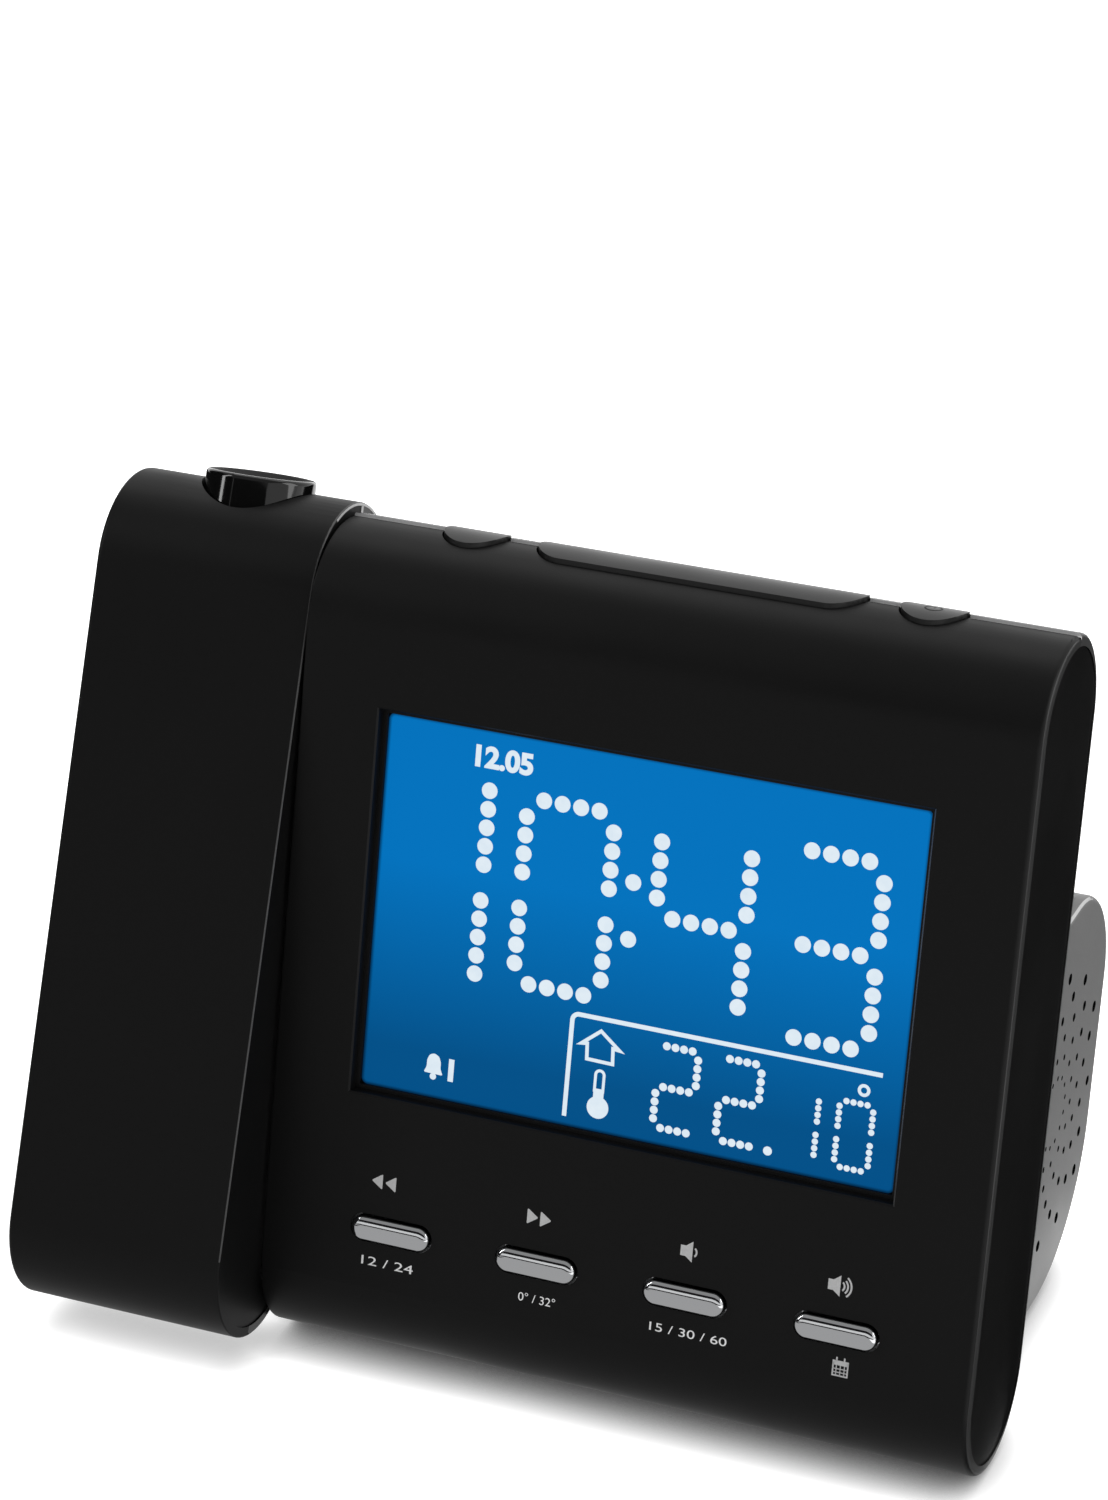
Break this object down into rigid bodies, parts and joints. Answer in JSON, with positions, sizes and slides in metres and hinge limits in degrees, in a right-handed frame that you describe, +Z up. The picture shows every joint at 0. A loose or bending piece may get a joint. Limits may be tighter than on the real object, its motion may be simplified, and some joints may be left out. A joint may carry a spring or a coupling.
{
  "type": "projection alarm clock",
  "caption": "Leaning bedside alarm clock with a large display, chrome front keys, a snooze bar, a speaker drum foot and a swivelling projector arm with a focus ring.",
  "frame": {"origin": "centre of the whole clock's bounding box in plan, on the surface it stands on", "axes": "+X to the viewer's right along the width, -Y out of the front with the display, +Z up"},
  "size_m": [0.174, 0.119, 0.1515],
  "materials": {
    "case_plastic": "fine moulded texture, black ABS",
    "cap_plastic": "smooth black ABS",
    "button_plastic": "satin black ABS",
    "chrome_key": "bright plating on ABS",
    "housing_plastic": "grey ABS, fine texture",
    "display_mask": "black mask",
    "display_glass": "blue negative LCD under a gloss cover",
    "backlight": "white light guide",
    "board": "green solder mask",
    "switch": "black",
    "steel": "zinc plated",
    "cone_paper": "black paper pulp",
    "cell": "printed film sleeve, plain",
    "contact": "nickel plated",
    "inlet": "black",
    "ferrite": "sintered ferrite",
    "foot_rubber": "matt black rubber",
    "hub_plastic": "acetal",
    "ring_gloss": "piano black",
    "barrel_plastic": "matt black",
    "lens": "clear acrylic",
    "led": "clear red epoxy"
  },
  "bodies": {
    "case": {"front_shell": "case_plastic", "rear_shell": "case_plastic", "right_end_cap": "cap_plastic", "left_end_cap": "case_plastic", "lcd_bezel": "display_mask", "lcd_panel": "display_glass", "lcd_backlight": "backlight", "main_board": "board", "front_key_board": "board", "front_key_switches": "switch", "top_key_board": "board", "top_key_switches": "switch", "speaker_housing": "housing_plastic", "speaker_grille": "housing_plastic", "speaker_frame": "steel", "speaker_cone": "cone_paper", "speaker_magnet": "steel", "battery_tray": "case_plastic", "battery_cells": "cell", "battery_contacts": "contact", "power_inlet": "inlet", "ferrite_rod": "ferrite", "rubber_feet": "foot_rubber", "case_screws": "steel"},
    "arm": {"arm_front_shell": "case_plastic", "arm_rear_shell": "case_plastic", "arm_outer_cap": "cap_plastic", "arm_inner_cap": "case_plastic", "swivel_hub": "hub_plastic", "friction_washer": "foot_rubber", "hub_clip": "steel", "projector_chassis": "case_plastic", "projector_led": "led", "led_board": "board", "condenser_lens": "lens", "projection_panel": "lens", "arm_screws": "steel"},
    "ring": {"focus_ring": "ring_gloss"},
    "barrel": {"lens_barrel": "barrel_plastic", "projection_lens": "lens"},
    "rewind": {"key_rewind": "chrome_key"},
    "forward": {"key_forward": "chrome_key"},
    "volume_down": {"key_volume_down": "chrome_key"},
    "volume_up": {"key_volume_up": "chrome_key"},
    "band": {"band_button": "button_plastic"},
    "snooze": {"snooze_bar": "button_plastic"},
    "power": {"power_button": "button_plastic"},
    "door": {"battery_door": "case_plastic"}
  },
  "joints": [
    {"name": "arm_swivel", "type": "hinge", "parent": "case", "child": "arm", "pos_m": [-0.04515, -0.00495, 0.1197], "axis": [-1, 0, 0], "range_deg": [-9, 171]},
    {"name": "focus_turn", "type": "hinge", "parent": "arm", "child": "ring", "pos_m": [-0.0647, -0.0003, 0.13152], "axis": [0, 0.3665, 0.9304], "range_deg": [-120, 120]},
    {"name": "lens_slide", "type": "slide", "parent": "arm", "child": "barrel", "axis": [0, 0.3665, 0.9304], "range_m": [-0.002, 0.002]},
    {"name": "battery_door_hinge", "type": "hinge", "parent": "case", "child": "door", "pos_m": [0.02105, 0.00331, 0.08752], "axis": [-1, 0, 0], "range_deg": [0, 75]},
    {"name": "rewind_press", "type": "slide", "parent": "case", "child": "rewind", "axis": [0, 0.9763, -0.2164], "range_m": [0, 0.0005], "stiffness_N_per_m": 600, "springref_m": -0.0005},
    {"name": "forward_press", "type": "slide", "parent": "case", "child": "forward", "axis": [0, 0.9763, -0.2164], "range_m": [0, 0.0005], "stiffness_N_per_m": 600, "springref_m": -0.0005},
    {"name": "volume_down_press", "type": "slide", "parent": "case", "child": "volume_down", "axis": [0, 0.9763, -0.2164], "range_m": [0, 0.0005], "stiffness_N_per_m": 600, "springref_m": -0.0005},
    {"name": "volume_up_press", "type": "slide", "parent": "case", "child": "volume_up", "axis": [0, 0.9763, -0.2164], "range_m": [0, 0.0005], "stiffness_N_per_m": 600, "springref_m": -0.0005},
    {"name": "band_press", "type": "slide", "parent": "case", "child": "band", "axis": [0, -0.2164, -0.9763], "range_m": [0, 0.0007], "stiffness_N_per_m": 600, "springref_m": -0.0005},
    {"name": "snooze_press", "type": "slide", "parent": "case", "child": "snooze", "axis": [0, -0.2164, -0.9763], "range_m": [0, 0.0007], "stiffness_N_per_m": 600, "springref_m": -0.0005},
    {"name": "power_press", "type": "slide", "parent": "case", "child": "power", "axis": [0, -0.2164, -0.9763], "range_m": [0, 0.0007], "stiffness_N_per_m": 600, "springref_m": -0.0005}
  ],
  "couplings": [
    {"joint": "focus_turn", "follows": "lens_slide", "rad_per_m": 1047.2}
  ]
}
